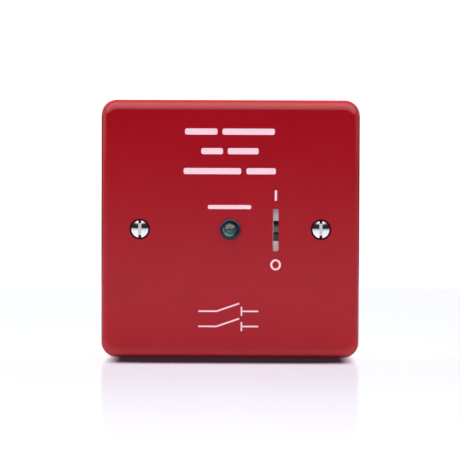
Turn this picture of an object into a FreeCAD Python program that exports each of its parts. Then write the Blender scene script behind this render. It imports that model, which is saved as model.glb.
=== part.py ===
import FreeCAD, Part
import math
import os

# Key-operated double-pole mains isolator for a fire alarm supply.
# A red moulded single-gang plate stands on a white surface box. The switch
# mechanism and a small indicator circuit hang on the back of the plate.
#
# Frame: millimetres. X to the right seen from the front, +Z up, +Y into the
# wall. The origin is the centre of the box's rear face, which lies in the
# plane y = 0. Depths are written as s, measured from the plate's front face,
# so y = s - DEPTH.

V = FreeCAD.Vector

# ---------------------------------------------------------------- dimensions
# enclosure
WIDTH = 86.0            # plate and box, both ways
PLATE_DEPTH = 8.0
BOX_DEPTH = 32.0
DEPTH = PLATE_DEPTH + BOX_DEPTH
CORNER_R = 5.1          # corners seen from the front
EDGE_R = 3.2            # rounded front edge of the plate
PLATE_T = 2.5           # front wall of the plate
SKIRT_T = 2.2           # side walls of the plate
BOX_T = 2.5             # walls of the box
FIX_X = 30.15           # half of the 60.3 mm fixing centres
# faceplate screws, M3.5 x 25 raised countersunk, slotted
SCREW_R = 1.75
HEAD_R = 2.8
HEAD_RISE = 0.2
SINK_R = 3.45           # straight recess round the head
SINK_D = 0.85           # its depth, down to the seat
SCREW_END = 25.0
SLOT_W = 1.0
# key slot
SLOT_X = 15.1
SLOT_Z = -0.15
KEY_SLOT_W = 1.9
KEY_SLOT_H = 14.1
# indicator
LED_R = 2.5
BEZEL_R = 3.5
BEZEL_NECK_R = 3.1
BEZEL_RISE = 0.8
LED_TIP = -2.2          # s of the dome's tip
LED_BASE = 6.4          # s of the lamp's base
BOARD_S = 12.0
BOARD_T = 1.6
BOARD = (-19.0, 3.0, -10.0, 10.0)
BOARD_POST = ((-15.5, 7.0), (-15.5, -7.0))
# switch module
MOD_X = 15.0
MOD_Z = -0.6            # the mechanism sits a little below the slot's middle
MOD_W = 20.0
MOD_H = 37.0
COVER_T = 1.5
MOD_END = 27.5
POLES = (10.0, 20.0)    # x of the neutral pole and the live pole
WINDOW_X = 15.2
WINDOW_W = 1.8
WINDOW_H = 6.8
# rocker
PIVOT_S = 9.0
PIN_R = 1.0
RUN = 0.05              # running clearance of the rocker on its pin
ROCK = 6.0              # degrees each side of level
RIDGE_H = 2.0
RECESS_H = 3.0
TIP_R = 1.2             # plunger's rounded end
TIP_C = 10.25           # distance from the pivot to the end's centre
# moving contacts
RATIO = 1.75            # contact degrees for each rocker degree
TILT = ROCK * RATIO
PIVOT_C = 21.5          # s of the knife edge
STRIP_T = 1.0
ARM = 8.5               # knife edge to contact point
# wall fixing and cable entry
FIX_SLOT = (25.0, 27.0, 4.5, 9.0)   # x, z, width, length
ENTRY = (0.0, -22.0, 10.0)          # x, z, radius

PARTS = {}


# ------------------------------------------------------------------ helpers
def Y(s):
    return s - DEPTH


def bx(x0, x1, s0, s1, z0, z1):
    return Part.makeBox(x1 - x0, s1 - s0, z1 - z0, V(x0, Y(s0), z0))


def rod(r, x, z, s0, s1):
    return Part.makeCylinder(r, s1 - s0, V(x, Y(s0), z), V(0, 1, 0))


def rod_x(r, x0, x1, s, z):
    return Part.makeCylinder(r, x1 - x0, V(x0, Y(s), z), V(1, 0, 0))


def rod_z(r, x, s, z0, z1):
    return Part.makeCylinder(r, z1 - z0, V(x, Y(s), z0), V(0, 0, 1))


def turned(points, x, z):
    """Solid of revolution about the line (x, *, z): points are (radius, s)."""
    pts = [V(x + r, Y(s), z) for r, s in points]
    face = Part.Face(Part.makePolygon(pts + [pts[0]]))
    return face.revolve(V(x, 0, z), V(0, 1, 0), 360)


def prism(points, x0, x1):
    """Polygon of (s, z) points, extruded along X."""
    pts = [V(x0, Y(s), z) for s, z in points]
    face = Part.Face(Part.makePolygon(pts + [pts[0]]))
    return face.extrude(V(x1 - x0, 0, 0))


def along(shape, axis):
    """Straight edges of shape that run along axis."""
    out = []
    for e in shape.Edges:
        if len(e.Vertexes) == 2 and isinstance(e.Curve, Part.Line):
            d = e.Vertexes[1].Point.sub(e.Vertexes[0].Point)
            if d.Length > 1e-6 and abs(abs(d.normalize().dot(axis)) - 1) < 1e-6:
                out.append(e)
    return out


def rounded(w, h, r, s0, s1):
    """Block with rounded corners seen from the front, centred on x = z = 0."""
    b = bx(-w / 2, w / 2, s0, s1, -h / 2, h / 2)
    return b.makeFillet(r, along(b, V(0, 1, 0)))


def loop_at(shape, s):
    """Edges that lie in the plane at depth s."""
    return [e for e in shape.Edges
            if all(abs(v.Point.y - Y(s)) < 1e-6 for v in e.Vertexes)
            and abs(e.CenterOfMass.y - Y(s)) < 1e-6]


def fuse(shapes):
    out = shapes[0]
    for s in shapes[1:]:
        out = out.fuse(s)
    return out.removeSplitter()


def cut(shape, tools):
    for t in tools:
        shape = shape.cut(t)
    return shape


def turn_x(shape, s, z, deg):
    shape = shape.copy()
    shape.rotate(V(0, Y(s), z), V(1, 0, 0), deg)
    return shape


def group(shapes):
    flat = []
    for s in shapes:
        flat += s.Solids
    return Part.makeCompound(flat)


# --------------------------------------------------------------- front plate
def front_plate():
    p = rounded(WIDTH, WIDTH, CORNER_R, 0, PLATE_DEPTH)
    p = p.makeFillet(EDGE_R, loop_at(p, 0))
    inner = WIDTH - 2 * SKIRT_T
    p = p.cut(rounded(inner, inner, CORNER_R - SKIRT_T, PLATE_T, PLATE_DEPTH + 1))
    add = []
    for sx in (-1, 1):
        add.append(rod(4.75, sx * FIX_X, 0, PLATE_T - 0.5, 8.4))
    for x, z in BOARD_POST:
        add.append(rod(2.5, x, z, PLATE_T - 0.5, BOARD_S))
    for sz in (-1, 1):
        add.append(rod(3.0, MOD_X, MOD_Z + sz * 21.5, PLATE_T - 0.5, 7.0))
    # ribs that stiffen the left half, between the skirt and the lamp
    add.append(bx(-41.5, -34.5, PLATE_T - 0.5, 5.5, -0.6, 0.6))
    add.append(bx(34.5, 41.5, PLATE_T - 0.5, 5.5, -0.6, 0.6))
    p = fuse([p] + add)
    holes = []
    for sx in (-1, 1):
        holes.append(rod(1.95, sx * FIX_X, 0, -1, 9))
        seat = HEAD_R + 0.2      # the cone that the head sits on, 0.05 clear of it
        holes.append(turned([(0, -0.5), (SINK_R, -0.5), (SINK_R, SINK_D), (seat - SINK_D, SINK_D),
                             (1.95, seat - 1.95), (0, seat - 1.95)], sx * FIX_X, 0))
    holes.append(rod(BEZEL_NECK_R + 0.02, 0, 0, -1, 4))
    slot = bx(SLOT_X - KEY_SLOT_W / 2, SLOT_X + KEY_SLOT_W / 2, -1, 4,
              SLOT_Z - KEY_SLOT_H / 2, SLOT_Z + KEY_SLOT_H / 2)
    holes.append(slot.makeFillet(0.4, along(slot, V(0, 1, 0))))
    for x, z in BOARD_POST:
        holes.append(rod(0.97, x, z, 6.5, BOARD_S + 1))
    for sz in (-1, 1):
        holes.append(rod(1.47, MOD_X, MOD_Z + sz * 21.5, 3.4, 8.0))
    return cut(p, holes)


# ------------------------------------------------------------------ back box
def slot_hole(x, z, w, length, s0, s1):
    h = length / 2 - w / 2
    return fuse([bx(x - h, x + h, s0, s1, z - w / 2, z + w / 2),
                 rod(w / 2, x - h, z, s0, s1), rod(w / 2, x + h, z, s0, s1)])


def back_box():
    s0, s1 = PLATE_DEPTH, DEPTH
    b = rounded(WIDTH, WIDTH, CORNER_R, s0, s1)
    b = b.makeFillet(0.6, loop_at(b, s1))
    inner = WIDTH - 2 * BOX_T
    b = b.cut(rounded(inner, inner, CORNER_R - BOX_T, s0 - 1, s1 - BOX_T))
    add = []
    for sx in (-1, 1):
        add.append(rod(4.6, sx * FIX_X, 0, 9.0, s1 - BOX_T + 0.5))
        x0, x1 = sorted((sx * 33.5, sx * 41.5))
        add.append(bx(x0, x1, 9.0, s1 - BOX_T + 0.5, -2.0, 2.0))
    # cradle of the earth terminal
    add.append(bx(-25.5, -14.5, 33.5, s1 - BOX_T + 0.5, -5.5, 5.5))
    b = fuse([b] + add)
    holes = []
    for sx in (-1, 1):
        holes.append(rod(2.8, sx * FIX_X, 0, 8.5, 17.0))
        holes.append(rod(1.9, sx * FIX_X, 0, 16.0, 30.0))
    holes.append(bx(-24.05, -15.95, 33.0, s1 - BOX_T, -4.05, 4.05))
    fx, fz, fw, fl = FIX_SLOT
    for sx in (-1, 1):
        for sz in (-1, 1):
            holes.append(slot_hole(sx * fx, sz * fz, fw, fl, s1 - BOX_T - 1, s1 + 1))
    ex, ez, er = ENTRY
    holes.append(rod(er, ex, ez, s1 - BOX_T - 1, s1 + 1))
    # knock-out rings, one in each side wall
    mid = (s0 + s1) / 2
    half = WIDTH / 2
    for a in range(4):
        ring = Part.makeCylinder(10.5, 2, V(0, Y(mid), half - 0.8), V(0, 0, 1)).cut(
            Part.makeCylinder(9.7, 4, V(0, Y(mid), half - 1.5), V(0, 0, 1)))
        ring.rotate(V(0, 0, 0), V(0, 1, 0), 90 * a)
        holes.append(ring)
    return cut(b, holes)


# -------------------------------------------------------------------- screws
def faceplate_screw(x):
    rr = (HEAD_R ** 2 + HEAD_RISE ** 2) / (2 * HEAD_RISE)
    mid_r = HEAD_R * 0.5
    mid_s = -HEAD_RISE + rr - math.sqrt(rr ** 2 - mid_r ** 2)
    p0, p1, p2 = V(x, Y(-HEAD_RISE), 0), V(x + mid_r, Y(mid_s), 0), V(x + HEAD_R, Y(0), 0)
    cone = HEAD_R - SCREW_R
    rest = [V(x + HEAD_R, Y(0), 0), V(x + HEAD_R, Y(0.15), 0),
            V(x + SCREW_R, Y(0.15 + cone), 0), V(x + SCREW_R, Y(SCREW_END - 0.6), 0),
            V(x + SCREW_R - 0.6, Y(SCREW_END), 0), V(x, Y(SCREW_END), 0), p0]
    edges = [Part.Arc(p0, p1, p2).toShape()]
    edges += [Part.LineSegment(a, b).toShape() for a, b in zip(rest, rest[1:])]
    s = Part.Face(Part.Wire(edges)).revolve(V(x, 0, 0), V(0, 1, 0), 360)
    return s.cut(bx(x - SLOT_W / 2, x + SLOT_W / 2, -2, 0.8, -5, 5))


def pan_screw(x, z, head_s, head_r, head_h, r, end_s, slot_w, from_rear=True):
    """Slotted pan head screw whose head faces the rear (+s)."""
    d = 1 if from_rear else -1
    pts = [(0, end_s), (r, end_s), (r, head_s), (head_r, head_s),
           (head_r, head_s + d * head_h * 0.6), (head_r * 0.72, head_s + d * head_h),
           (0, head_s + d * head_h)]
    s = turned(pts, x, z)
    top = head_s + d * head_h
    lo, hi = sorted((top - d * head_h * 0.5, top + d * 1.0))
    return s.cut(bx(x - slot_w / 2, x + slot_w / 2, lo, hi, z - head_r - 1, z + head_r + 1))


# ----------------------------------------------------------------- indicator
def led_bezel():
    r0, r1 = LED_R + 0.05, BEZEL_R
    c = (BEZEL_R - r0) / 2
    # rounded rim: an arc from the bore's edge over to the plate
    a = [V(r0, Y(-BEZEL_RISE + 0.25), 0), V(r0 + c, Y(-BEZEL_RISE), 0), V(r1, Y(-0.15), 0)]
    rest = [a[2], V(r1, Y(0), 0), V(BEZEL_NECK_R, Y(0), 0), V(BEZEL_NECK_R, Y(5.3), 0),
            V(r0, Y(5.3), 0), a[0]]
    edges = [Part.Arc(a[0], a[1], a[2]).toShape()]
    edges += [Part.LineSegment(p, q).toShape() for p, q in zip(rest, rest[1:])]
    return Part.Face(Part.Wire(edges)).revolve(V(0, 0, 0), V(0, 1, 0), 360)


def led_lamp():
    body = rod(LED_R, 0, 0, LED_TIP + LED_R, LED_BASE)
    dome = Part.makeSphere(LED_R, V(0, Y(LED_TIP + LED_R), 0))
    rim = rod(2.9, 0, 0, 5.3, LED_BASE)
    rim = rim.cut(bx(2.55, 4, 5.0, 7.0, -4, 4))     # flat that marks the cathode
    return fuse([body, dome, rim])


def indicator_board():
    x0, x1, z0, z1 = BOARD
    b = bx(x0, x1, BOARD_S, BOARD_S + BOARD_T, z0, z1)
    b = b.makeFillet(1.0, along(b, V(0, 1, 0)))
    holes = [rod(0.42, sx * 1.27, 0, 11, 15) for sx in (-1, 1)]
    holes += [rod(1.1, x, z, 11, 15) for x, z in BOARD_POST]
    for x, z in LEAD_HOLES:
        holes.append(rod(0.45, x, z, 11, 15))
    for x, z in WIRE_HOLES:
        holes.append(rod(0.75, x, z, 11, 15))
    return cut(b, holes)


RES_X = (-10.0, -5.2)
RES_SPAN = 6.4
DIODE_Z = 8.4
DIODE_X = (-11.6, -1.0)
BODY_S = BOARD_S + BOARD_T + 1.95       # axis of the component bodies
LEAD_R = 0.35
LEAD_HOLES = ([(x, sz * RES_SPAN) for x in RES_X for sz in (-1, 1)]
              + [(x, DIODE_Z) for x in DIODE_X])
WIRE_HOLES = ((1.2, -8.0), (-13.0, -3.0))


def lead(p0, p1, p2, r):
    """Round lead from p0 straight to p1, a tight bend, then straight to p2."""
    b = 0.9
    d0 = p0.sub(p1).normalize()
    d2 = p2.sub(p1).normalize()
    a, c = p1 + d0 * b, p1 + d2 * b
    mid = p1 + (d0 + d2) * (b * (1 - math.sqrt(0.5)))
    wire = Part.Wire([Part.LineSegment(p0, a).toShape(), Part.Arc(a, mid, c).toShape(),
                      Part.LineSegment(c, p2).toShape()])
    ring = Part.Wire([Part.Circle(p0, d0, r).toShape()])
    return wire.makePipeShell([ring], True, False)


def component_leads():
    out = []
    end = BOARD_S - 0.8
    for x in RES_X:
        for sz in (-1, 1):
            out.append(lead(V(x, Y(BODY_S), sz * 4.5), V(x, Y(BODY_S), sz * RES_SPAN),
                            V(x, Y(end), sz * RES_SPAN), LEAD_R))
    cx = sum(DIODE_X) / 2
    for i, x in enumerate(DIODE_X):
        sx = -1 if i == 0 else 1
        out.append(lead(V(cx + sx * 2.6, Y(BODY_S), DIODE_Z), V(x, Y(BODY_S), DIODE_Z),
                        V(x, Y(end), DIODE_Z), LEAD_R))
    return group(out)


def dropper_resistors():
    out = []
    for x in RES_X:
        pts = [(0, -4.5), (1.3, -4.5), (1.75, -4.1), (1.75, -2.6), (1.5, -2.2), (1.5, 2.2),
               (1.75, 2.6), (1.75, 4.1), (1.3, 4.5), (0, 4.5)]
        poly = [V(x + r, Y(BODY_S), z) for r, z in pts]
        f = Part.Face(Part.makePolygon(poly + [poly[0]]))
        out.append(f.revolve(V(x, Y(BODY_S), 0), V(0, 0, 1), 360))
    return group(out)


def rectifier_diode():
    cx = sum(DIODE_X) / 2
    d = rod_x(1.3, cx - 2.6, cx + 2.6, BODY_S, DIODE_Z)
    return d.makeFillet(0.25, [e for e in d.Edges if isinstance(e.Curve, Part.Circle)])


def wire_path(points, r):
    """Straight runs joined by tangent arcs of radius r."""
    edges, last = [], points[0]
    for i in range(1, len(points) - 1):
        p = points[i]
        d0 = points[i - 1].sub(p).normalize()
        d2 = points[i + 1].sub(p).normalize()
        half = math.acos(max(-1, min(1, d0.dot(d2)))) / 2
        t = r / math.tan(half)
        a, c = p + d0 * t, p + d2 * t
        bis = (d0 + d2).normalize()
        mid = p + bis * (r / math.sin(half) - r)
        edges.append(Part.LineSegment(last, a).toShape())
        edges.append(Part.Arc(a, mid, c).toShape())
        last = c
    edges.append(Part.LineSegment(last, points[-1]).toShape())
    return Part.Wire(edges)


def wire_solid(points, r, bend):
    path = wire_path(points, bend)
    d = points[1].sub(points[0]).normalize()
    ring = Part.Wire([Part.Circle(points[0], d, r).toShape()])
    s = path.makePipeShell([ring], True, False)
    want = math.pi * r * r * path.Length
    print("wire: length %.1f mm, bend radius %.1f mm, volume %.1f of %.1f mm3"
          % (path.Length, bend, s.Volume, want))
    return s


WIRE_R = 0.7
WIRE_END = MOD_Z - 14.0         # inside the block's wire hole
LIVE_WIRE = [V(1.2, Y(BOARD_S + 0.4), -8.0), V(1.2, Y(17.5), -8.0), V(1.2, Y(17.5), -31.0),
             V(20.0, Y(20.0), -31.0), V(20.0, Y(20.0), WIRE_END)]
NEUTRAL_WIRE = [V(-13.0, Y(BOARD_S + 0.4), -3.0), V(-13.0, Y(22.5), -3.0),
                V(-13.0, Y(22.5), -27.0), V(10.0, Y(20.0), -27.0), V(10.0, Y(20.0), WIRE_END)]


# -------------------------------------------------------------- switch module
def switch_cover():
    x0, x1 = MOD_X - MOD_W / 2, MOD_X + MOD_W / 2
    c = bx(x0, x1, PLATE_T, PLATE_T + COVER_T, MOD_Z - MOD_H / 2, MOD_Z + MOD_H / 2)
    c = c.makeFillet(1.0, along(c, V(0, 1, 0)))
    w = bx(WINDOW_X - WINDOW_W / 2, WINDOW_X + WINDOW_W / 2, PLATE_T - 1, PLATE_T + COVER_T + 1,
           MOD_Z - WINDOW_H / 2, MOD_Z + WINDOW_H / 2)
    return c.cut(w.makeFillet(0.25, along(w, V(0, 1, 0))))


def switch_housing():
    x0, x1 = MOD_X - MOD_W / 2, MOD_X + MOD_W / 2
    s0 = PLATE_T + COVER_T
    h = bx(x0, x1, s0, MOD_END, MOD_Z - MOD_H / 2, MOD_Z + MOD_H / 2)
    h = h.makeFillet(1.0, along(h, V(0, 1, 0)))
    ears = []
    for sz in (-1, 1):
        z0, z1 = sorted((MOD_Z + sz * 18.0, MOD_Z + sz * 24.6))
        ear = bx(MOD_X - 3.2, MOD_X + 3.2, 7.0, 9.0, z0, z1)
        ears.append(ear)
    h = fuse([h] + ears)
    t = []
    # room for the rocker, then one chamber for each pole
    t.append(bx(x0 + 1.5, x1 - 1.5, s0 - 1, 14.0, MOD_Z - 10.5, MOD_Z + 10.5))
    t.append(bx(x0 + 1.5, MOD_X - 0.7, 13.5, 24.0, MOD_Z - 10.5, MOD_Z + 10.5))
    t.append(bx(MOD_X + 0.7, x1 - 1.5, 13.5, 24.0, MOD_Z - 10.5, MOD_Z + 10.5))
    for px in POLES:
        t.append(bx(px - 2.4, px + 2.4, 23.5, 25.85, MOD_Z - 11.5, MOD_Z - 5.0))
        t.append(bx(px - 2.4, px + 2.4, 22.9, 24.0, MOD_Z + 10.0, MOD_Z + 11.6))
        for sz in (-1, 1):
            z0, z1 = sorted((MOD_Z + sz * 11.4, MOD_Z + sz * 17.2))
            t.append(bx(px - 3.35, px + 3.35, s0 - 1, 26.0, z0, z1))
            z0, z1 = sorted((MOD_Z + sz * 17.0, MOD_Z + sz * 19.0))
            t.append(rod_z(2.0, px, 20.0, z0, z1))
            t.append(rod(2.5, px, MOD_Z + sz * 14.3, 25.5, 28.0))
    for sz in (-1, 1):
        t.append(rod(1.6, MOD_X, MOD_Z + sz * 21.5, 6.5, 9.5))
    t.append(rod_x(PIN_R + 0.01, x0 - 1, x1 + 1, PIVOT_S, MOD_Z))
    return cut(h, t)


def key_rocker():
    z = MOD_Z
    front = bx(7.0, 23.0, 5.0, 9.0, z - 5.0, z + 5.0)
    front = front.makeFillet(0.8, along(front, V(1, 0, 0)))
    hub = rod_x(3.0, 7.0, 23.0, PIVOT_S, z)
    ridge = bx(WINDOW_X - 1.6, WINDOW_X + 1.6, 4.5, 6.0, z - RIDGE_H / 2, z + RIDGE_H / 2)
    parts = [front, hub, ridge]
    for px in POLES:
        parts.append(rod(2.5, px, z, PIVOT_S, 16.5))
    parts.append(bx(POLES[0], POLES[1], PIVOT_S, 12.5, z - 1.6, z + 1.6))
    r = fuse(parts)
    t = [rod_x(PIN_R + RUN, 6.0, 24.0, PIVOT_S, z)]
    for sz in (-1, 1):
        z0, z1 = sorted((z + sz * RIDGE_H / 2, z + sz * (RIDGE_H / 2 + RECESS_H)))
        t.append(bx(WINDOW_X - 1.6, WINDOW_X + 1.6, 4.0, 7.7, z0, z1))
    for px in POLES:
        t.append(rod(1.75, px, z, 11.2, 17.0))
    return turn_x(cut(r, t), PIVOT_S, z, -ROCK)


def contact_plunger(px):
    z = MOD_Z
    s_tip = PIVOT_S + TIP_C
    p = fuse([rod(1.65, px, z, 14.2, 17.5), rod(TIP_R, px, z, 17.0, s_tip),
              Part.makeSphere(TIP_R, V(px, Y(s_tip), z))])
    return turn_x(p, PIVOT_S, z, -ROCK)


def contact_spring(px):
    z = MOD_Z
    p = rod(1.6, px, z, 11.2, 14.2).cut(rod(1.15, px, z, 11.0, 14.5))
    return turn_x(p, PIVOT_S, z, -ROCK)


def moving_contact(px):
    z = MOD_Z
    c = bx(px - 2.2, px + 2.2, PIVOT_C - STRIP_T, PIVOT_C, z - 9.7, z + 7.5)
    c = c.makeFillet(0.8, along(c, V(0, 1, 0)))
    lug = bx(px - 2.9, px + 2.9, PIVOT_C - STRIP_T, PIVOT_C, z - 1.3, z + 1.3)
    return turn_x(fuse([c, lug]), PIVOT_C, z, TILT)


def moving_tip(px):
    z = MOD_Z
    t = rod(1.4, px, z - ARM, PIVOT_C, PIVOT_C + 0.6)
    return turn_x(t, PIVOT_C, z, TILT)


def fixed_tip(px):
    z = MOD_Z
    t = rod(1.6, px, z - ARM, PIVOT_C + 0.63, PIVOT_C + 1.43)
    return turn_x(t, PIVOT_C, z, TILT)


def load_strip(px):
    a = math.radians(TILT)

    def loc(arm, n):
        return (PIVOT_C - arm * math.sin(a) + n * math.cos(a),
                MOD_Z + arm * math.cos(a) + n * math.sin(a))
    p0, p1 = loc(-6.6, 1.43), loc(-10.2, 1.43)
    p4, p5 = loc(-10.2, 2.43), loc(-6.6, 2.43)
    pts = [p0, p1, (p1[0], MOD_Z - 11.4), (p4[0], MOD_Z - 11.4), p4, p5]
    return prism(pts, px - 2.2, px + 2.2)


def line_strip(px):
    z = MOD_Z
    strip = bx(px - 2.2, px + 2.2, 23.0, 24.0, z - 1.6, z + 11.4)
    edge = prism([(23.2, z - 1.3), (PIVOT_C + 0.04, z), (23.2, z + 1.3)], px - 2.2, px + 2.2)
    return fuse([strip, edge])


def terminal_block(px, sz):
    z0, z1 = sorted((MOD_Z + sz * 11.4, MOD_Z + sz * 17.0))
    b = bx(px - 3.25, px + 3.25, 17.0, 26.0, z0, z1)
    b = b.makeFillet(0.4, along(b, V(0, 1, 0)))
    z0, z1 = sorted((MOD_Z + sz * 11.0, MOD_Z + sz * 18.0))
    b = b.cut(rod_z(1.6, px, 20.0, z0, z1))
    return b.cut(rod(1.5, px, MOD_Z + sz * 14.3, 20.0, 27.0))


def terminal_screw(px, sz):
    return pan_screw(px, MOD_Z + sz * 14.3, 26.3, 2.3, 1.7, 1.48, 21.0, 0.7)


# ------------------------------------------------------------- earth terminal
EARTH_X, EARTH_Z = -20.0, 0.0


def earth_block():
    b = bx(EARTH_X - 4, EARTH_X + 4, 29.0, DEPTH - BOX_T, EARTH_Z - 4, EARTH_Z + 4)
    b = b.makeFillet(0.4, along(b, V(0, 1, 0)))
    b = b.cut(rod_x(1.9, EARTH_X - 5, EARTH_X + 5, 31.3, EARTH_Z))
    return b.cut(rod(1.75, EARTH_X, EARTH_Z, 28.0, 31.3))


def earth_screw():
    return pan_screw(EARTH_X, EARTH_Z, 28.7, 2.7, 1.8, 1.73, 30.6, 0.8, from_rear=False)


# ---------------------------------------------------------------------- build
PARTS["front_plate"] = front_plate()
PARTS["back_box"] = back_box()
PARTS["faceplate_screws"] = group([faceplate_screw(-FIX_X), faceplate_screw(FIX_X)])
PARTS["box_inserts"] = group([rod(2.8, sx * FIX_X, 0, 9.0, 17.0).cut(
    rod(SCREW_R + 0.01, sx * FIX_X, 0, 8, 18)) for sx in (-1, 1)])
PARTS["led_bezel"] = led_bezel()
PARTS["led_retaining_ring"] = rod(4.3, 0, 0, PLATE_T, 5.0).cut(
    rod(BEZEL_NECK_R + 0.01, 0, 0, 2, 6))
PARTS["led_lamp"] = led_lamp()
PARTS["led_leads"] = group([bx(sx * 1.27 - 0.25, sx * 1.27 + 0.25, LED_BASE, 14.6, -0.25, 0.25)
                            for sx in (-1, 1)])
PARTS["indicator_board"] = indicator_board()
PARTS["board_screws"] = group([pan_screw(x, z, BOARD_S + BOARD_T, 2.0, 1.4, 0.95, 7.0, 0.6)
                               for x, z in BOARD_POST])
PARTS["dropper_resistors"] = dropper_resistors()
PARTS["rectifier_diode"] = rectifier_diode()
PARTS["component_leads"] = component_leads()
PARTS["indicator_wire_live"] = wire_solid(LIVE_WIRE, WIRE_R, 3.6)
PARTS["indicator_wire_neutral"] = wire_solid(NEUTRAL_WIRE, WIRE_R, 4.2)
PARTS["switch_cover"] = switch_cover()
PARTS["switch_housing"] = switch_housing()
PARTS["module_screws"] = group([pan_screw(MOD_X, MOD_Z + sz * 21.5, 9.0, 2.7, 2.0, 1.45, 3.8, 0.8)
                                for sz in (-1, 1)])
PARTS["line_contact_strips"] = group([line_strip(px) for px in POLES])
PARTS["load_contact_strips"] = group([load_strip(px) for px in POLES])
PARTS["fixed_contact_tips"] = group([fixed_tip(px) for px in POLES])
PARTS["line_terminal_blocks"] = group([terminal_block(px, 1) for px in POLES])
PARTS["load_terminal_blocks"] = group([terminal_block(px, -1) for px in POLES])
PARTS["terminal_screws"] = group([terminal_screw(px, sz) for px in POLES for sz in (-1, 1)])
PARTS["rocker_pivot_pin"] = rod_x(PIN_R, MOD_X - 9.9, MOD_X + 9.9, PIVOT_S, MOD_Z)
PARTS["earth_terminal_block"] = earth_block()
PARTS["earth_terminal_screw"] = earth_screw()
PARTS["key_rocker"] = key_rocker()
PARTS["contact_plungers"] = group([contact_plunger(px) for px in POLES])
PARTS["contact_springs"] = group([contact_spring(px) for px in POLES])
PARTS["moving_contact_neutral"] = moving_contact(POLES[0])
PARTS["moving_tip_neutral"] = moving_tip(POLES[0])
PARTS["moving_contact_live"] = moving_contact(POLES[1])
PARTS["moving_tip_live"] = moving_tip(POLES[1])

os.makedirs("parts", exist_ok=True)
for name, shape in PARTS.items():
    solids = shape.Solids
    ok = all(s.isValid() and s.isClosed() and s.Volume > 0 for s in solids)
    print("%-26s solids %d  valid %s  volume %.1f" % (name, len(solids), ok, shape.Volume))
    if not ok or not solids:
        raise ValueError("bad shape: " + name)
    out = solids[0] if len(solids) == 1 else Part.makeCompound(solids)
    out.exportStep("parts/%s.step" % name)
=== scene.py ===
import bpy
import bmesh
import math
from mathutils import Vector, Matrix


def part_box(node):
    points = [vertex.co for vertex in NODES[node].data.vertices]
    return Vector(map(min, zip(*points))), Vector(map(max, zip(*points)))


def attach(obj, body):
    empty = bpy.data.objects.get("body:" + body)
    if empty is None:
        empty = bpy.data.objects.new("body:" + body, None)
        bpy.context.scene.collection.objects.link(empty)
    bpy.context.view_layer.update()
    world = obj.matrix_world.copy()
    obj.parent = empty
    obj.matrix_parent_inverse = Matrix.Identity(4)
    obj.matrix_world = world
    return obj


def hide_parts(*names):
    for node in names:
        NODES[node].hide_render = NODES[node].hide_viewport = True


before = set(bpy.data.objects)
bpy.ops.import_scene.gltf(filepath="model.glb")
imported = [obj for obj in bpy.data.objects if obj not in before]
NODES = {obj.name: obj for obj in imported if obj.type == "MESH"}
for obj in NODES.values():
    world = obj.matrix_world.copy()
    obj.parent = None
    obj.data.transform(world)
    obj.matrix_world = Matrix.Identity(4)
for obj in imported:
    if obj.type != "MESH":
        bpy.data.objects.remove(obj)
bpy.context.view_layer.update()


scene = bpy.context.scene

# ------------------------------------------------------------------ places, all from the frame
plate_lo, plate_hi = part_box("front_plate")
FRONT = plate_lo.y                      # the plate's front face
BOTTOM = min(plate_lo.z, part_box("back_box")[0].z)
MM = 0.001
INK_T = 0.03 * MM                       # printed ink stands this proud of the plate


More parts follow.
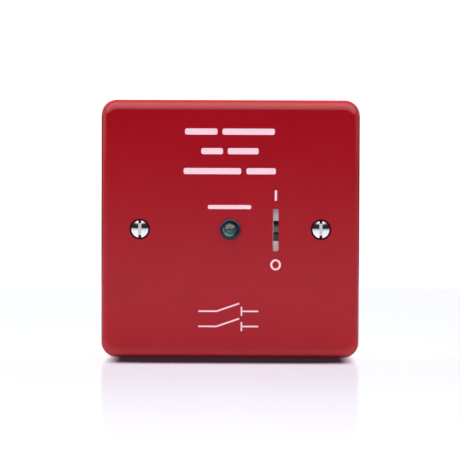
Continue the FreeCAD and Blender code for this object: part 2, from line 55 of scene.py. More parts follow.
# ------------------------------------------------------------------ materials
def material(name, base, rough, rough_var=0.04, metallic=0.0, tone=0.06, tone_scale=300.0,
             bump=0.05, bump_scale=1500.0, bump_dist=0.00002, specular=0.5, ior=1.5, coat=0.0,
             coat_rough=0.1, transmission=0.0, stretch=(1.0, 1.0, 1.0), speck=0.0, subsurface=0.0):
    m = bpy.data.materials.new(name)
    m.use_nodes = True
    nt = m.node_tree
    nt.nodes.clear()
    out = nt.nodes.new("ShaderNodeOutputMaterial")
    p = nt.nodes.new("ShaderNodeBsdfPrincipled")
    nt.links.new(p.outputs["BSDF"], out.inputs["Surface"])
    p.inputs["Metallic"].default_value = metallic
    p.inputs["IOR"].default_value = ior
    p.inputs["Specular IOR Level"].default_value = specular
    p.inputs["Coat Weight"].default_value = coat
    p.inputs["Coat Roughness"].default_value = coat_rough
    p.inputs["Transmission Weight"].default_value = transmission
    if subsurface:
        p.inputs["Subsurface Weight"].default_value = subsurface
        p.inputs["Subsurface Scale"].default_value = 0.001
    tc = nt.nodes.new("ShaderNodeTexCoord")
    mp = nt.nodes.new("ShaderNodeMapping")
    mp.inputs["Scale"].default_value = stretch
    nt.links.new(tc.outputs["Object"], mp.inputs["Vector"])
    # slow tone variation
    n1 = nt.nodes.new("ShaderNodeTexNoise")
    n1.inputs["Scale"].default_value = tone_scale
    n1.inputs["Detail"].default_value = 4.0
    nt.links.new(mp.outputs["Vector"], n1.inputs["Vector"])
    cr = nt.nodes.new("ShaderNodeValToRGB")
    cr.color_ramp.elements[0].position = 0.3
    cr.color_ramp.elements[1].position = 0.7
    cr.color_ramp.elements[0].color = (base[0] * (1 - tone), base[1] * (1 - tone), base[2] * (1 - tone), 1)
    cr.color_ramp.elements[1].color = (min(1, base[0] * (1 + tone)), min(1, base[1] * (1 + tone)),
                                       min(1, base[2] * (1 + tone)), 1)
    nt.links.new(n1.outputs["Fac"], cr.inputs["Fac"])
    colour = cr.outputs["Color"]
    if speck:
        v = nt.nodes.new("ShaderNodeTexNoise")
        v.inputs["Scale"].default_value = tone_scale * 9
        v.inputs["Detail"].default_value = 2.0
        nt.links.new(mp.outputs["Vector"], v.inputs["Vector"])
        sr = nt.nodes.new("ShaderNodeMapRange")
        sr.inputs["From Min"].default_value = 0.62
        sr.inputs["From Max"].default_value = 0.72
        sr.inputs["To Max"].default_value = speck
        nt.links.new(v.outputs["Fac"], sr.inputs["Value"])
        mx = nt.nodes.new("ShaderNodeMix")
        mx.data_type = "RGBA"
        mx.inputs["B"].default_value = (base[0] * 0.45, base[1] * 0.45, base[2] * 0.45, 1)
        nt.links.new(sr.outputs["Result"], mx.inputs["Factor"])
        nt.links.new(colour, mx.inputs["A"])
        colour = mx.outputs["Result"]
    nt.links.new(colour, p.inputs["Base Color"])
    # roughness variation
    n2 = nt.nodes.new("ShaderNodeTexNoise")
    n2.inputs["Scale"].default_value = tone_scale * 2.3
    n2.inputs["Detail"].default_value = 5.0
    nt.links.new(mp.outputs["Vector"], n2.inputs["Vector"])
    mr = nt.nodes.new("ShaderNodeMapRange")
    mr.inputs["From Min"].default_value = 0.25
    mr.inputs["From Max"].default_value = 0.75
    mr.inputs["To Min"].default_value = max(0.02, rough - rough_var)
    mr.inputs["To Max"].default_value = rough + rough_var
    nt.links.new(n2.outputs["Fac"], mr.inputs["Value"])
    nt.links.new(mr.outputs["Result"], p.inputs["Roughness"])
    # fine relief
    n3 = nt.nodes.new("ShaderNodeTexNoise")
    n3.inputs["Scale"].default_value = bump_scale
    n3.inputs["Detail"].default_value = 3.0
    nt.links.new(mp.outputs["Vector"], n3.inputs["Vector"])
    b = nt.nodes.new("ShaderNodeBump")
    b.inputs["Strength"].default_value = bump
    b.inputs["Distance"].default_value = bump_dist
    nt.links.new(n3.outputs["Fac"], b.inputs["Height"])
    nt.links.new(b.outputs["Normal"], p.inputs["Normal"])
    return m


RED = material("moulded_red", (0.303, 0.0034, 0.0095), 0.06, 0.018, tone=0.03, tone_scale=90.0,
               bump=0.035, bump_scale=900.0, bump_dist=0.00003, ior=1.5, specular=0.27)
WHITE = material("moulded_white", (0.77, 0.77, 0.755), 0.30, 0.02, tone=0.012, tone_scale=120.0,
                 bump=0.10, bump_scale=2600.0, bump_dist=0.00003, specular=0.45, speck=0.05)
CHROME = material("plated_screw", (0.80, 0.79, 0.775), 0.03, 0.012, metallic=1.0, tone=0.05, tone_scale=900.0,
                  bump=0.10, bump_scale=2600.0, bump_dist=0.00001)
BRASS = material("turned_brass", (0.76, 0.53, 0.22), 0.24, 0.06, metallic=1.0, tone=0.08, tone_scale=700.0,
                 bump=0.10, bump_scale=4000.0, bump_dist=0.00001, stretch=(1, 1, 6))
BLACK = material("bezel_black", (0.009, 0.009, 0.016), 0.17, 0.04, tone=0.2, tone_scale=700.0,
                 bump=0.07, bump_scale=2500.0, bump_dist=0.00002, specular=0.42)
NYLON = material("ring_nylon", (0.035, 0.035, 0.04), 0.5, 0.08, tone=0.2, tone_scale=500.0,
                 bump=0.1, bump_scale=2500.0)
TIN = material("tinned_wire", (0.72, 0.72, 0.74), 0.28, 0.06, metallic=1.0, tone=0.08, tone_scale=900.0,
               bump=0.1, bump_scale=3000.0)
ZINC = material("zinc_plate", (0.66, 0.67, 0.66), 0.26, 0.08, metallic=1.0, tone=0.10, tone_scale=600.0,
                bump=0.12, bump_scale=2400.0)
BOARD = material("solder_mask", (0.035, 0.17, 0.06), 0.32, 0.08, tone=0.25, tone_scale=420.0,
                 bump=0.2, bump_scale=2500.0, speck=0.25)
RESISTOR = material("resistor_lacquer", (0.20, 0.38, 0.44), 0.35, 0.06, tone=0.10, tone_scale=700.0,
                    bump=0.15, bump_scale=1800.0)
DIODE = material("diode_epoxy", (0.018, 0.018, 0.02), 0.5, 0.08, tone=0.2, tone_scale=700.0,
                 bump=0.15, bump_scale=3000.0)
BROWN = material("brown_sleeve", (0.13, 0.045, 0.016), 0.38, 0.06, tone=0.12, tone_scale=400.0,
                 bump=0.1, bump_scale=1600.0)
BLUE = material("blue_sleeve", (0.02, 0.08, 0.42), 0.38, 0.06, tone=0.12, tone_scale=400.0,
                bump=0.1, bump_scale=1600.0)
GREY_LIGHT = material("cover_grey", (0.80, 0.72, 0.75), 0.36, 0.05, tone=0.03, tone_scale=350.0,
                      bump=0.12, bump_scale=2600.0)
GREY = material("housing_grey", (0.34, 0.34, 0.36), 0.45, 0.06, tone=0.05, tone_scale=250.0,
                bump=0.15, bump_scale=2200.0)
COPPER = material("contact_copper", (0.78, 0.40, 0.22), 0.26, 0.08, metallic=1.0, tone=0.12, tone_scale=500.0,
                  bump=0.1, bump_scale=2500.0, stretch=(1, 1, 4))
SILVER = material("silver_contact", (0.86, 0.84, 0.80), 0.2, 0.06, metallic=1.0, tone=0.08, tone_scale=900.0,
                  bump=0.1, bump_scale=3000.0)
STEEL = material("ground_steel", (0.58, 0.58, 0.60), 0.2, 0.05, metallic=1.0, tone=0.06, tone_scale=800.0,
                 bump=0.1, bump_scale=4000.0, stretch=(8, 1, 1))
# painted shade: the cover's grey darkened about five times, for the rocker lying in the shade of the slot
SHADED_ROCKER_GREY = material("rocker_grey_painted_shade", (0.17, 0.145, 0.165), 0.32, 0.05, tone=0.06, tone_scale=450.0,
                  bump=0.12, bump_scale=2400.0)
SPRING = material("spring_wire", (0.55, 0.56, 0.58), 0.22, 0.05, metallic=1.0, tone=0.08, tone_scale=900.0,
                  bump=0.1, bump_scale=3000.0)
INK = material("white_print", (0.82, 0.555, 0.615), 0.42, 0.06, tone=0.03, tone_scale=800.0,
               bump=0.12, bump_scale=3500.0, specular=0.3)
LENS = material("lamp_lens", (0.36, 0.64, 0.64), 0.05, 0.02, tone=0.03, tone_scale=900.0, bump=0.12,
                bump_scale=1200.0, bump_dist=0.00003, ior=1.5, transmission=1.0)
LENS_IN = material("lamp_core", (0.022, 0.055, 0.06), 0.22, 0.05, tone=0.30, tone_scale=900.0, bump=0.25,
                   bump_scale=1500.0, specular=0.6)
# painted shade: dark maroon for the rings that stand for the shade in the screw recesses
PAINTED_SEAT_SHADE = material("screw_painted_shade", (0.045, 0.003, 0.012), 0.55, 0.06, tone=0.25, tone_scale=900.0, bump=0.1,
                     bump_scale=1800.0, specular=0.02)
# painted highlight: pale teal for the arc that stands for the light focused in the lower lens
PAINTED_LENS_HIGHLIGHT = material("lamp_painted_highlight", (0.15, 0.25, 0.25), 0.25, 0.05, tone=0.18, tone_scale=1500.0, bump=0.15,
                    bump_scale=2500.0)
LAMP_METAL = material("lamp_anvil", (0.018, 0.034, 0.04), 0.25, 0.05, metallic=1.0, tone=0.15, tone_scale=1200.0,
                      bump=0.15, bump_scale=2500.0)

for n in BLACK.node_tree.nodes:
    if n.type == "BSDF_PRINCIPLED":
        n.inputs["Specular Tint"].default_value = (0.62, 0.50, 0.85, 1.0)

COAT = {
    "front_plate": RED, "back_box": WHITE, "faceplate_screws": CHROME, "box_inserts": BRASS,
    "led_bezel": BLACK, "led_retaining_ring": NYLON, "led_lamp": LENS, "led_leads": TIN,
    "indicator_board": BOARD, "board_screws": ZINC, "dropper_resistors": RESISTOR,
    "rectifier_diode": DIODE, "component_leads": TIN, "indicator_wire_live": BROWN,
    "indicator_wire_neutral": BLUE, "switch_cover": GREY_LIGHT, "switch_housing": GREY,
    "module_screws": ZINC, "line_contact_strips": COPPER, "load_contact_strips": COPPER,
    "fixed_contact_tips": SILVER, "line_terminal_blocks": BRASS, "load_terminal_blocks": BRASS,
    "terminal_screws": ZINC, "rocker_pivot_pin": STEEL, "earth_terminal_block": BRASS,
    "earth_terminal_screw": ZINC, "key_rocker": SHADED_ROCKER_GREY, "contact_plungers": GREY_LIGHT,
    "contact_springs": SPRING, "moving_contact_neutral": COPPER, "moving_contact_live": COPPER,
    "moving_tip_neutral": SILVER, "moving_tip_live": SILVER,
}
for name, obj in NODES.items():
    obj.data.materials.clear()
    obj.data.materials.append(COAT[name])

OBJECT = bpy.data.collections.new("object_pieces")
scene.collection.children.link(OBJECT)
for obj in NODES.values():
    OBJECT.objects.link(obj)


# ------------------------------------------------------------------ printed legend on the plate
def piece(name, bm, mat, body="enclosure", smooth=False):
    me = bpy.data.meshes.new(name)
    bmesh.ops.recalc_face_normals(bm, faces=bm.faces[:])
    bm.to_mesh(me)
    bm.free()
    for poly in me.polygons:
        poly.use_smooth = smooth
    me.materials.append(mat)
    o = bpy.data.objects.new(name, me)
    scene.collection.objects.link(o)
    OBJECT.objects.link(o)
    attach(o, body)
    return o


def outline_to_slab(bm, pts, t=INK_T, sink=0.004 * MM):
    """A closed outline (x, z) in metres becomes a thin slab standing t proud of the plate's face."""
    back = [bm.verts.new((x, FRONT + sink, z)) for x, z in pts]
    front = [bm.verts.new((x, FRONT - t, z)) for x, z in pts]
    bm.faces.new(front)
    bm.faces.new(list(reversed(back)))
    n = len(pts)
    for i in range(n):
        j = (i + 1) % n
        bm.faces.new((back[i], back[j], front[j], front[i]))


def round_bar(bm, cx, cz, w, h, r, seg=6):
    r = min(r, w / 2 - 1e-6, h / 2 - 1e-6)
    pts = []
    for sx, sz, a0 in ((1, 1, 0), (-1, 1, 90), (-1, -1, 180), (1, -1, 270)):
        for k in range(seg + 1):
            a = math.radians(a0 + 90.0 * k / seg)
            pts.append((cx + sx * (w / 2 - r) + r * math.cos(a), cz + sz * (h / 2 - r) + r * math.sin(a)))
    outline_to_slab(bm, pts)


def ring(bm, cx, cz, rx, rz, width, seg=40):
    inner, outer = [], []
    for k in range(seg):
        a = 2 * math.pi * k / seg
        c, s = math.cos(a), math.sin(a)
        outer.append((cx + rx * c, cz + rz * s))
        inner.append((cx + (rx - width) * c, cz + (rz - width) * s))
    of_, if_ = [bm.verts.new((x, FRONT - INK_T, z)) for x, z in outer], [bm.verts.new((x, FRONT - INK_T, z)) for x, z in inner]
    ob, ib = [bm.verts.new((x, FRONT + 0.004 * MM, z)) for x, z in outer], [bm.verts.new((x, FRONT + 0.004 * MM, z)) for x, z in inner]
    for i in range(seg):
        j = (i + 1) % seg
        bm.faces.new((of_[i], of_[j], if_[j], if_[i]))
        bm.faces.new((ob[j], ob[i], ib[i], ib[j]))
        bm.faces.new((ob[i], ob[j], of_[j], of_[i]))
        bm.faces.new((ib[j], ib[i], if_[i], if_[j]))


def stroke(bm, a, b, width):
    """A straight printed line from a to b, both (x, z) in metres."""
    va, vb = Vector(a), Vector(b)
    d = (vb - va).normalized()
    n = Vector((-d.y, d.x)) * (width / 2)
    outline_to_slab(bm, [tuple(va - n), tuple(vb - n), tuple(vb + n), tuple(va + n)])


# three centred rows, two bars to a row, then one bar over the lamp: plain marks where the real plate is lettered
ROWS = [  # row centre z, bar height, (left x, right x) of each bar, in millimetres
    (32.55, 2.05, (-15.2, -4.4), (-2.75, 14.65)),
    (26.05, 2.05, (-9.75, -2.55), (-0.95, 9.3)),
    (19.4, 2.05, (-15.6, 3.5), (5.3, 15.05)),
]
bm = bmesh.new()
for z, h, *spans in ROWS:
    for x0, x1 in spans:
        round_bar(bm, (x0 + x1) / 2 * MM, z * MM, (x1 - x0) * MM, h * MM, 0.6 * MM)
piece("legend_rows", bm, INK)

bm = bmesh.new()
round_bar(bm, -0.3 * MM, 7.45 * MM, 14.4 * MM, 1.35 * MM, 0.5 * MM)
piece("legend_lamp_bar", bm, INK)

# the two switch positions: a bar over the slot for on, a ring under it for off
bm = bmesh.new()
round_bar(bm, 15.1 * MM, 11.35 * MM, 0.75 * MM, 3.5 * MM, 0.15 * MM)
piece("legend_on_mark", bm, INK)
bm = bmesh.new()
ring(bm, 15.1 * MM, -11.75 * MM, 1.75 * MM, 1.85 * MM, 0.62 * MM)
piece("legend_off_mark", bm, INK)

# the double pole switch symbol
bm = bmesh.new()
for z in (-27.32, -32.38):
    W = 0.5 * MM
    stroke(bm, (-10.55 * MM, z * MM), (-4.5 * MM, z * MM), W)
    stroke(bm, (-4.6 * MM, (z - 0.02) * MM), (3.05 * MM, (z + 2.62) * MM), W)
    stroke(bm, (3.8 * MM, (z + 1.5) * MM), (3.8 * MM, (z - 1.5) * MM), W)
    stroke(bm, (3.8 * MM, z * MM), (9.4 * MM, z * MM), W)
piece("legend_switch_symbol", bm, INK)


# painted shade: a dark ring put in the recess round each screw head to stand for the shade there; it is no part of the
# object
for side_name, sx in (("left", -30.15), ("right", 30.15)):
    bm = bmesh.new()
    edge = []
    for k in range(64):
        a = 2 * math.pi * k / 64
        c, n = math.cos(a), math.sin(a)
        edge.append([bm.verts.new((sx * MM + r * MM * c, FRONT + y * MM, r * MM * n))
                     for r, y in ((2.0, 0.42), (3.42, 0.42), (3.42, 0.62), (2.0, 0.62))])
    for k in range(64):
        a, b = edge[k], edge[(k + 1) % 64]
        for i in range(4):
            j = (i + 1) % 4
            bm.faces.new((a[i], b[i], b[j], a[j]))
    bmesh.ops.recalc_face_normals(bm, faces=bm.faces[:])
    piece("screw_painted_shade_" + side_name, bm, PAINTED_SEAT_SHADE)

# ------------------------------------------------------------------ the lamp: clear tinted lens over a metal cup and post
lamp_lo, lamp_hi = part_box("led_lamp")
LX, LZ = (lamp_lo.x + lamp_hi.x) / 2, (lamp_lo.z + lamp_hi.z) / 2
LR = 2.5 * MM
TIP = lamp_lo.y


def lathe(profile, seg=48):
    """Turns (radius, y) points about the lamp's own axis."""
    bm = bmesh.new()
    rings = []
    for r, y in profile:
        if r < 1e-7:
            rings.append([bm.verts.new((LX, y, LZ))])
        else:
            rings.append([bm.verts.new((LX + r * math.cos(2 * math.pi * k / seg), y,
                                        LZ + r * math.sin(2 * math.pi * k / seg))) for k in range(seg)])
    for a, b in zip(rings, rings[1:]):
        for k in range(seg):
            j = (k + 1) % seg
            if len(a) == 1 and len(b) == 1:
                continue
            if len(a) == 1:
                bm.faces.new((a[0], b[j], b[k]))
            elif len(b) == 1:
                bm.faces.new((a[k], a[j], b[0]))
            else:
                bm.faces.new((a[k], a[j], b[j], b[k]))
    return bm


dome = []
for k in range(13):
    a = math.radians(90.0 * k / 12)
    dome.append((LR * math.sin(a), TIP + LR * (1 - math.cos(a))))
profile = dome + [(LR, lamp_hi.y - 1.0 * MM), (2.9 * MM, lamp_hi.y - 1.0 * MM), (2.9 * MM, lamp_hi.y), (0.0, lamp_hi.y)]
lens = piece("lamp_lens", lathe(profile), LENS, smooth=True)
lens.data.set_sharp_from_angle(angle=math.radians(40))
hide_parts("led_lamp")
# the tinted core that gives the lens its depth
core = piece("lamp_core", lathe([(0.0, TIP + 3.1 * MM), (1.2 * MM, TIP + 3.0 * MM), (2.05 * MM, TIP + 2.6 * MM),
                                 (2.2 * MM, TIP + 2.9 * MM), (2.2 * MM, lamp_hi.y - 0.4 * MM), (0.0, lamp_hi.y - 0.4 * MM)]),
             LENS_IN, smooth=True)
core.data.set_sharp_from_angle(angle=math.radians(40))
# reflector cup on its anvil, and the thin post beside it
cup = lathe([(0.0, TIP + 2.35 * MM), (0.32 * MM, TIP + 2.35 * MM), (0.62 * MM, TIP + 1.95 * MM), (0.78 * MM, TIP + 1.95 * MM),
             (0.74 * MM, TIP + 3.3 * MM), (0.0, TIP + 3.3 * MM)], seg=28)
bmesh.ops.translate(cup, verts=cup.verts[:], vec=(-0.35 * MM, 0, -0.15 * MM))
piece("lamp_cup", cup, LAMP_METAL, smooth=True)
post = lathe([(0.0, TIP + 2.0 * MM), (0.2 * MM, TIP + 2.05 * MM), (0.28 * MM, TIP + 3.3 * MM), (0.0, TIP + 3.3 * MM)], seg=20)
bmesh.ops.translate(post, verts=post.verts[:], vec=(0.85 * MM, 0, 0.1 * MM))
piece("lamp_post", post, LAMP_METAL, smooth=True)
# a pale teal arc inside the lens low on the left: painted highlight standing for the light that the dome focuses there,
# not a part of the lamp
bm = bmesh.new()
arc = []
for k in range(15):
    a = math.radians(165.0 + 145.0 * k / 14)
    half = 0.34 * MM * math.sin(math.pi * (k + 0.6) / 15.2)
    arc.append((math.cos(a), math.sin(a), half))
mid_r = 1.62 * MM
low = [[bm.verts.new((LX + c * (mid_r + w), y, LZ + n * (mid_r + w))) for c, n, w in arc] for y in (TIP + 2.35 * MM, TIP + 2.75 * MM)]
high = [[bm.verts.new((LX + c * (mid_r - w), y, LZ + n * (mid_r - w))) for c, n, w in arc] for y in (TIP + 2.35 * MM, TIP + 2.75 * MM)]
for k in range(14):
    bm.faces.new((low[0][k], low[0][k + 1], high[0][k + 1], high[0][k]))
    bm.faces.new((high[1][k], high[1][k + 1], low[1][k + 1], low[1][k]))
    bm.faces.new((low[1][k], low[1][k + 1], low[0][k + 1], low[0][k]))
    bm.faces.new((high[0][k], high[0][k + 1], high[1][k + 1], high[1][k]))
bm.faces.new((low[0][0], high[0][0], high[1][0], low[1][0]))
bm.faces.new((low[0][14], low[1][14], high[1][14], high[0][14]))
bmesh.ops.recalc_face_normals(bm, faces=bm.faces[:])
piece("lamp_painted_highlight", bm, PAINTED_LENS_HIGHLIGHT)

# ------------------------------------------------------------------ floor
bm = bmesh.new()
bmesh.ops.create_grid(bm, x_segments=24, y_segments=24, size=4.0)
for v in bm.verts:
    v.co.x *= 0.45
    v.co.y = -3.6 + (v.co.y + 4.0) / 8.0 * 3.9
    v.co.z = BOTTOM - 0.00012
me = bpy.data.meshes.new("floor")
bm.to_mesh(me)
bm.free()
floor = bpy.data.objects.new("floor", me)
scene.collection.objects.link(floor)
fm = bpy.data.materials.new("floor_sheet")
fm.use_nodes = True
nt = fm.node_tree
nt.nodes.clear()
out = nt.nodes.new("ShaderNodeOutputMaterial")
diffuse = nt.nodes.new("ShaderNodeBsdfDiffuse")
diffuse.inputs["Color"].default_value = (0.9, 0.895, 0.9, 1)
glossy = nt.nodes.new("ShaderNodeBsdfGlossy")
glossy.inputs["Roughness"].default_value = 0.13
# painted contact shadow: the occlusion node darkens the floor's colour and gloss to a dark maroon next to the object
occl = nt.nodes.new("ShaderNodeAmbientOcclusion")
occl.samples = 32
occl.inputs["Distance"].default_value = 0.0255
shade = nt.nodes.new("ShaderNodeValToRGB")
shade.color_ramp.interpolation = "LINEAR"
shade.color_ramp.elements[0].position = 0.83
shade.color_ramp.elements[0].color = (0.05, 0.024, 0.035, 1)
shade.color_ramp.elements[1].position = 1.0
shade.color_ramp.elements[1].color = (1, 1, 1, 1)
for at, tint in ((0.875, (0.09, 0.055, 0.07)), (0.915, (0.31, 0.24, 0.28)), (0.95, (0.66, 0.58, 0.62)),
                 (0.975, (0.85, 0.80, 0.84))):
    stop = shade.color_ramp.elements.new(at)
    stop.color = tint + (1,)
nt.links.new(occl.outputs["AO"], shade.inputs["Fac"])
mix = nt.nodes.new("ShaderNodeMixShader")
geo = nt.nodes.new("ShaderNodeNewGeometry")
sep = nt.nodes.new("ShaderNodeSeparateXYZ")
nt.links.new(geo.outputs["Position"], sep.inputs["Vector"])
# painted shade: the floor colour falls from 0.98 to 0.715 towards the object, flattening the key's pool of light and
# standing for the shade near the object
even = nt.nodes.new("ShaderNodeMapRange")
even.inputs["From Min"].default_value = FRONT - 0.33
even.inputs["From Max"].default_value = FRONT - 0.01
even.inputs["To Min"].default_value = 0.98
even.inputs["To Max"].default_value = 0.715
nt.links.new(sep.outputs["Y"], even.inputs["Value"])
beside = nt.nodes.new("ShaderNodeMapRange")              # the painted shadow lies only along the front edge, not beside the object
beside.interpolation_type = "SMOOTHSTEP"
beside.inputs["From Min"].default_value = 0.0360
beside.inputs["From Max"].default_value = 0.0425
beside.inputs["To Min"].default_value = 1.0
beside.inputs["To Max"].default_value = 0.0
side_x = nt.nodes.new("ShaderNodeMath")
side_x.operation = "ABSOLUTE"
nt.links.new(sep.outputs["X"], side_x.inputs[0])
nt.links.new(side_x.outputs[0], beside.inputs["Value"])
strip = nt.nodes.new("ShaderNodeMix")
strip.data_type = "RGBA"
strip.inputs["A"].default_value = (1, 1, 1, 1)
path = nt.nodes.new("ShaderNodeLightPath")                # the painted contact shadow is only partly carried into the gloss of the plate; other rays see the softer painted shade
soft_painted_shade = nt.nodes.new("ShaderNodeValToRGB")
soft_painted_shade.color_ramp.elements[0].position = 0.08
soft_painted_shade.color_ramp.elements[0].color = (0.04, 0.03, 0.035, 1)
soft_painted_shade.color_ramp.elements[1].position = 1.0
soft_painted_shade.color_ramp.elements[1].color = (1, 1, 1, 1)
for at, v in ((0.36, 0.22), (0.50, 0.66), (0.75, 0.82)):
    stop = soft_painted_shade.color_ramp.elements.new(at)
    stop.color = (v, v, v, 1)
nt.links.new(occl.outputs["AO"], soft_painted_shade.inputs["Fac"])
half = nt.nodes.new("ShaderNodeMix")
half.data_type = "RGBA"
nt.links.new(path.outputs["Is Camera Ray"], half.inputs["Factor"])
nt.links.new(soft_painted_shade.outputs["Color"], half.inputs["A"])
nt.links.new(shade.outputs["Color"], half.inputs["B"])
nt.links.new(beside.outputs["Result"], strip.inputs["Factor"])
ahead = nt.nodes.new("ShaderNodeMapRange")                # painted shadow dark in front of the face, lighter painted shade behind it
ahead.inputs["From Min"].default_value = FRONT + 0.001
ahead.inputs["From Max"].default_value = FRONT + 0.008
nt.links.new(sep.outputs["Y"], ahead.inputs["Value"])
both = nt.nodes.new("ShaderNodeMix")
both.data_type = "RGBA"
nt.links.new(ahead.outputs["Result"], both.inputs["Factor"])
nt.links.new(half.outputs["Result"], both.inputs["A"])
nt.links.new(soft_painted_shade.outputs["Color"], both.inputs["B"])
nt.links.new(both.outputs["Result"], strip.inputs["B"])
# the painted shadow also darkens the floor's gloss
nt.links.new(strip.outputs["Result"], glossy.inputs["Color"])
pale = nt.nodes.new("ShaderNodeMix")                      # a paper white, a little cool, darkened towards the object by painted shade
pale.data_type = "RGBA"
pale.inputs["A"].default_value = (0, 0, 0, 1)
pale.inputs["B"].default_value = (0.895, 0.905, 0.995, 1)
nt.links.new(even.outputs["Result"], pale.inputs["Factor"])
# the floor colour times the painted contact shadow
tone = nt.nodes.new("ShaderNodeMix")
tone.data_type = "RGBA"
tone.blend_type = "MULTIPLY"
tone.inputs["Factor"].default_value = 1.0
nt.links.new(pale.outputs["Result"], tone.inputs["A"])
nt.links.new(strip.outputs["Result"], tone.inputs["B"])
nt.links.new(tone.outputs["Result"], diffuse.inputs["Color"])
away = nt.nodes.new("ShaderNodeMapRange")                 # 0 at the front face, 1 at 450 mm before it
away.inputs["From Min"].default_value = FRONT
away.inputs["From Max"].default_value = FRONT - 0.45
nt.links.new(sep.outputs["Y"], away.inputs["Value"])
fade = nt.nodes.new("ShaderNodeValToRGB")
fade.color_ramp.elements[0].color = (0.25, 0.25, 0.25, 1)
fade.color_ramp.elements[1].color = (0.0, 0.0, 0.0, 1)
for at, v in ((0.18, 0.20), (0.28, 0.155), (0.44, 0.10), (0.6, 0.062), (0.77, 0.03)):
    stop = fade.color_ramp.elements.new(at)
    stop.color = (v, v, v, 1)
nt.links.new(away.outputs["Result"], fade.inputs["Fac"])
nt.links.new(fade.outputs["Color"], mix.inputs["Fac"])
nt.links.new(diffuse.outputs["BSDF"], mix.inputs[1])
nt.links.new(glossy.outputs["BSDF"], mix.inputs[2])
nt.links.new(mix.outputs["Shader"], out.inputs["Surface"])
me.materials.append(fm)

# ------------------------------------------------------------------ light
STAGE = bpy.data.collections.new("stage_pieces")
scene.collection.children.link(STAGE)
STAGE.objects.link(floor)


def area(name, loc, target, size, power, size_y=None, only=None, glossy=False, colour=(1, 1, 1)):
    l = bpy.data.lights.new(name, "AREA")
    l.shape = "RECTANGLE"
    l.size = size
    l.size_y = size_y or size
    l.energy = power
    l.color = colour
    o = bpy.data.objects.new(name, l)
    scene.collection.objects.link(o)
    o.location = loc
    o.rotation_euler = (Vector(target) - Vector(loc)).to_track_quat("-Z", "Y").to_euler()
    o.visible_glossy = glossy
    o.visible_camera = False
    if only is not None:
        o.light_linking.receiver_collection = only
    return o


C = Vector((0.0, FRONT / 2, 0.0))
# key over the object, a little behind it; its shadow falls on the object only, the shadow in front of it on the floor
# is painted
floor_key = area("key_floor", (-0.12, FRONT + 0.30, 1.5), (-0.12, FRONT, BOTTOM), 1.5, 42.0, size_y=0.20, only=STAGE)
floor_key.light_linking.blocker_collection = STAGE         # uniform light on the sheet with no shadow of the object; the contact shadow is painted from the occlusion
area("key_over", (-0.12, FRONT + 0.30, 1.5), (-0.12, FRONT, BOTTOM), 1.5, 44.0, size_y=0.20, only=OBJECT)
# large soft fills that reach only the object
area("fill_front", (0.0, -3.2, 1.7), C, 2.2, 41.0, only=OBJECT)
area("fill_left", (-3.0, -0.8, 0.9), C, 1.8, 31.0, only=OBJECT)
area("fill_right", (3.0, -0.8, 0.9), C, 1.8, 26.0, only=OBJECT)
area("fill_back", (0.0, 3.0, 1.6), C, 2.0, 48.0, only=OBJECT)
area("fill_top", (0.0, -0.9, 2.6), C, 1.4, 40.0, only=OBJECT)

# studio surround: white behind, a soft overhead bank in front, darker low down behind the camera
world = bpy.data.worlds.new("studio")
scene.world = world
world.use_nodes = True
wt = world.node_tree
wt.nodes.clear()
wout = wt.nodes.new("ShaderNodeOutputWorld")
bg = wt.nodes.new("ShaderNodeBackground")
wtc = wt.nodes.new("ShaderNodeTexCoord")
wsep = wt.nodes.new("ShaderNodeSeparateXYZ")
wt.links.new(wtc.outputs["Generated"], wsep.inputs["Vector"])


def wmath(op, a, b=None, clamp=False):
    n = wt.nodes.new("ShaderNodeMath")
    n.operation = op
    n.use_clamp = clamp
    for i, v in enumerate((a, b)):
        if v is None:
            continue
        if isinstance(v, (int, float)):
            n.inputs[i].default_value = v
        else:
            wt.links.new(v, n.inputs[i])
    return n.outputs[0]


neg_y = wmath("MULTIPLY", wsep.outputs["Y"], -1.0)
ang = wmath("ARCTAN2", wsep.outputs["Z"], neg_y)          # 0 ahead of the plate, pi/2 overhead, pi behind
t = wmath("DIVIDE", ang, math.pi, clamp=True)
SCALE = 6.0
curve = wt.nodes.new("ShaderNodeValToRGB")
curve.color_ramp.interpolation = "LINEAR"
STOPS = [(0, 0.025), (6.5, 0.035), (9, 0.9), (12, 2.3), (21, 3.2), (33, 3.8), (46, 4.4), (60, 4.6), (74, 4.3), (90, 3.0),
         (105, 0.8), (135, 0.7), (180, 1.0)]
els = curve.color_ramp.elements
els[0].position, els[0].color = 0.0, (STOPS[0][1] / SCALE,) * 3 + (1,)
els[1].position, els[1].color = 1.0, (STOPS[-1][1] / SCALE,) * 3 + (1,)
for a, v in STOPS[1:-1]:
    e = els.new(a / 180.0)
    e.color = (v / SCALE,) * 3 + (1,)
wt.links.new(t, curve.inputs["Fac"])
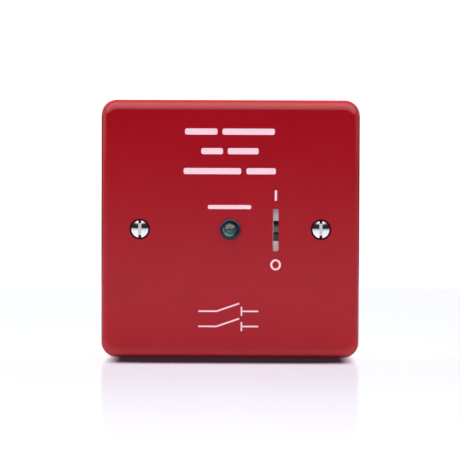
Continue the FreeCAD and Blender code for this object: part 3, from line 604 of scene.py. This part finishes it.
front_lum = wmath("MULTIPLY", curve.outputs["Color"], SCALE)
# sides: brighter on the left than on the right
side = wt.nodes.new("ShaderNodeMapRange")
side.inputs["From Min"].default_value = 0.80
side.inputs["From Max"].default_value = 0.97
wt.links.new(wmath("ABSOLUTE", wsep.outputs["X"]), side.inputs["Value"])
side_lum = wt.nodes.new("ShaderNodeMapRange")
side_lum.inputs["From Min"].default_value = -0.3
side_lum.inputs["From Max"].default_value = 0.3
side_lum.inputs["To Min"].default_value = 1.5
side_lum.inputs["To Max"].default_value = 0.9
wt.links.new(wsep.outputs["X"], side_lum.inputs["Value"])
blend = wmath("ADD", wmath("MULTIPLY", front_lum, wmath("SUBTRACT", 1.0, side.outputs["Result"])),
              wmath("MULTIPLY", side_lum.outputs["Result"], side.outputs["Result"]))
lp = wt.nodes.new("ShaderNodeLightPath")
world.cycles_visibility.diffuse = False                   # the lamps light matt surfaces, the surround is for gloss
cam_on = wmath("ADD", wmath("MULTIPLY", blend, wmath("SUBTRACT", 1.0, lp.outputs["Is Camera Ray"])),
               wmath("MULTIPLY", lp.outputs["Is Camera Ray"], 1.05))
bg.inputs["Color"].default_value = (1, 1, 1, 1)
wt.links.new(cam_on, bg.inputs["Strength"])
wt.links.new(bg.outputs["Background"], wout.inputs["Surface"])

# ------------------------------------------------------------------ camera
cam_data = bpy.data.cameras.new("camera")
cam_data.sensor_width = 36.0
cam_data.lens = 329.7
cam_data.clip_start = 0.01
cam_data.clip_end = 50.0
cam = bpy.data.objects.new("camera", cam_data)
scene.collection.objects.link(cam)
cam.location = (-0.00025, FRONT - 1.4, 0.0772)
aim = Vector((-0.00012, FRONT, -0.00019))
look = (aim - cam.location).to_track_quat("-Z", "Y").to_matrix().to_4x4()
cam.rotation_euler = (look @ Matrix.Rotation(math.radians(0.22), 4, "Z")).to_euler()
scene.camera = cam

scene.view_settings.view_transform = "Standard"
scene.view_settings.look = "None"
scene.view_settings.exposure = 0.0
scene.view_settings.gamma = 1.0
